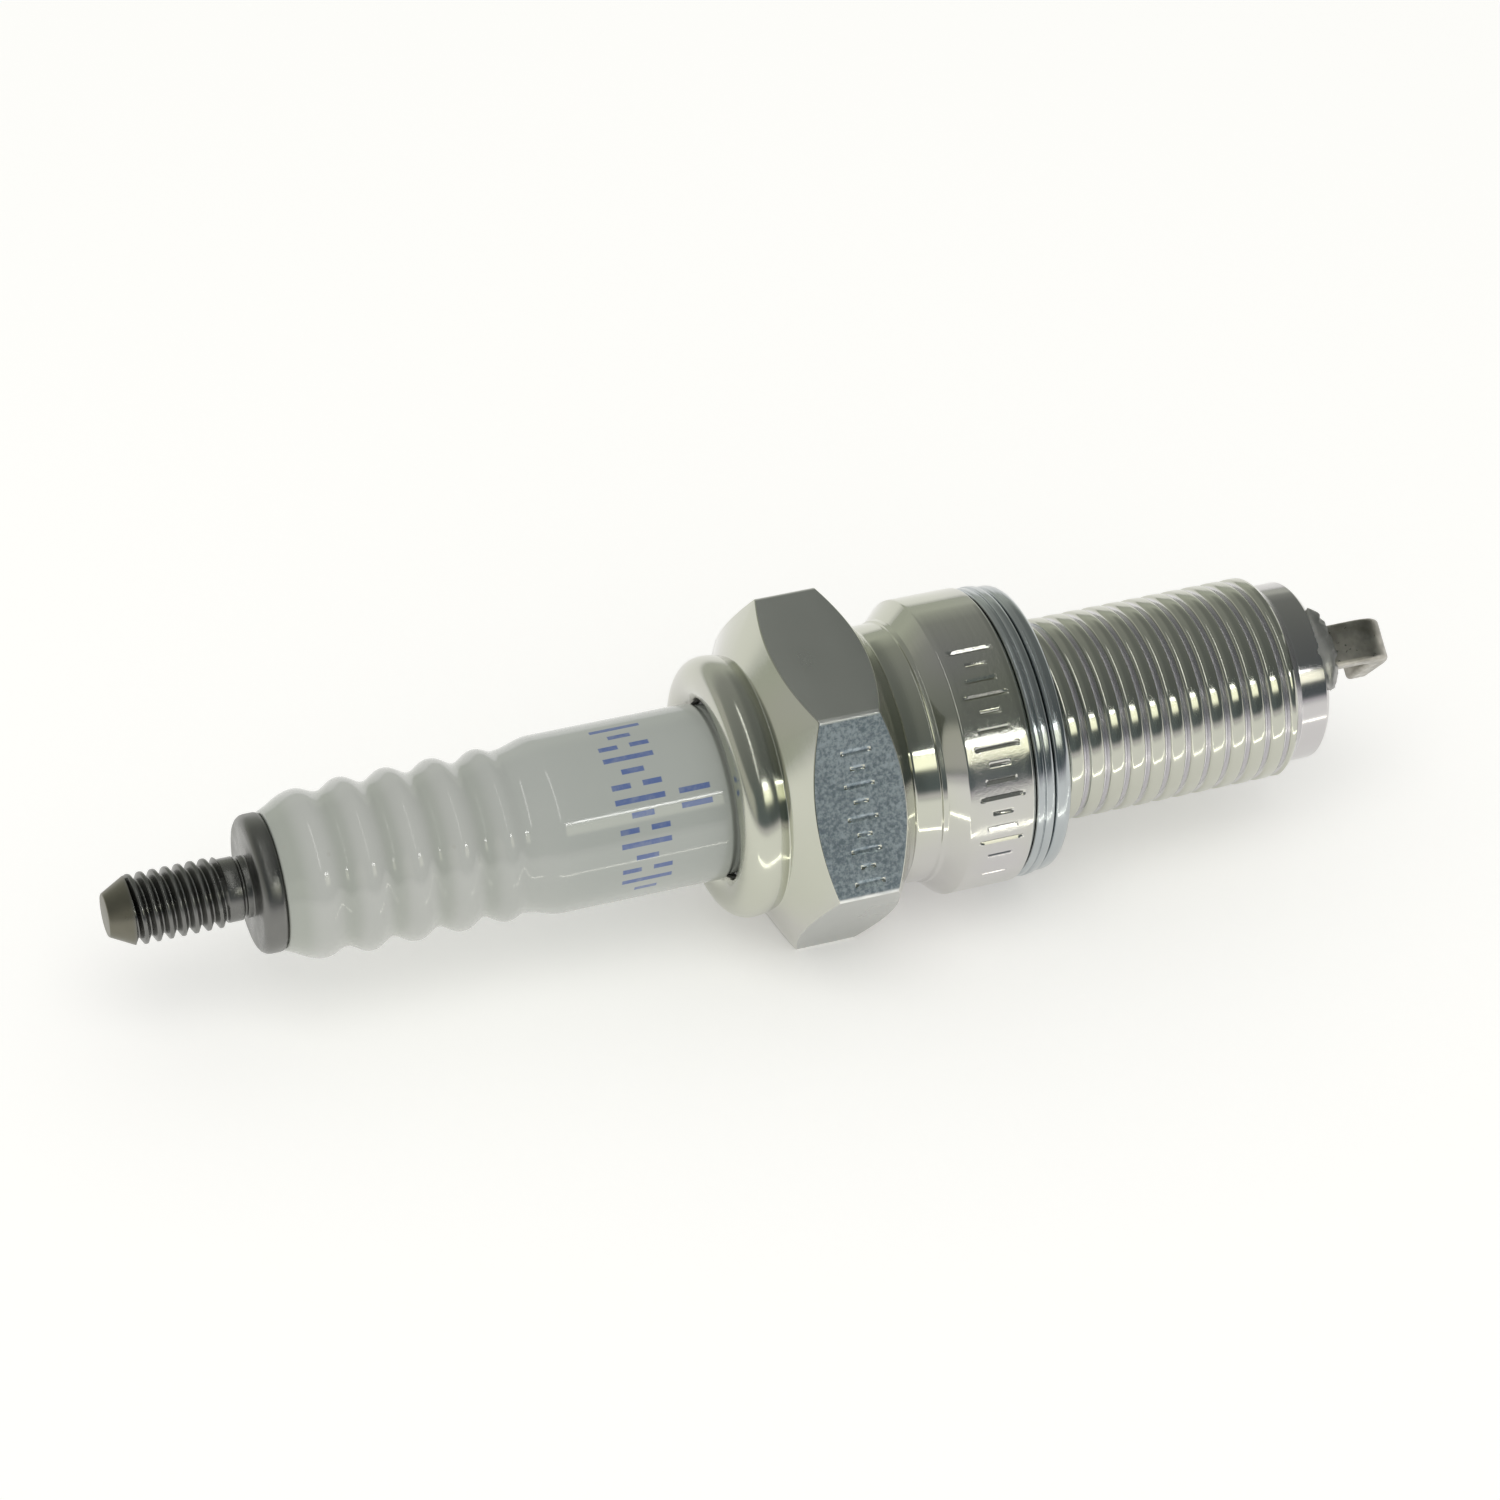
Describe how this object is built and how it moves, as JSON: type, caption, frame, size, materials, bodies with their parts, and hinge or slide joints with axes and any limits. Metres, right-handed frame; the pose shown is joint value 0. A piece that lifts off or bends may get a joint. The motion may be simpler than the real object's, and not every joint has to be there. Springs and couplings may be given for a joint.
{
  "type": "spark plug",
  "caption": "Long-reach spark plug with a ribbed ceramic insulator, hex shell, captive folded gasket that turns on the shell, threaded terminal stud and bent ground electrode.",
  "frame": {"origin": "on the plug's axis, in the plane of the gasket's sealing face, where the plug seats on the cylinder head", "axes": "+X along the axis towards the firing end (-X towards the terminal), +Z normal to one hex flat, the plug lying on its side"},
  "size_m": [0.0756, 0.0208, 0.018],
  "materials": {
    "plated_shell": "bright nickel or zinc plating, polished hex",
    "glazed_alumina": "clear glaze over white alumina",
    "stud_steel": "dark plated steel",
    "gasket_steel": "bluish zinc plating",
    "electrode_nickel": "dull nickel alloy",
    "weld_nickel": "rough oxidised weld",
    "core_copper": "bare copper, hidden",
    "seal_glass": "opaque conductive glass, hidden",
    "resistor_carbon": "matt carbon and glass composition, hidden",
    "packing_steel": "bare drawn wire and strip, hidden",
    "talc": "pressed powder, hidden"
  },
  "bodies": {
    "plug": {"terminal_stud": "stud_steel", "insulator": "glazed_alumina", "upper_glass_seal": "seal_glass", "resistor": "resistor_carbon", "lower_glass_seal": "seal_glass", "centre_electrode": "electrode_nickel", "electrode_copper_core": "core_copper", "shell": "plated_shell", "upper_packing_ring": "packing_steel", "talc_seal": "talc", "lower_packing_ring": "packing_steel", "seat_washer": "packing_steel", "ground_electrode": "electrode_nickel", "ground_weld": "weld_nickel"},
    "gasket": {"gasket": "gasket_steel"}
  },
  "joints": [
    {"name": "gasket_spin", "type": "hinge", "parent": "plug", "child": "gasket", "pos_m": [-0.0012, 0, 0], "axis": [1, 0, 0], "continuous": true}
  ]
}
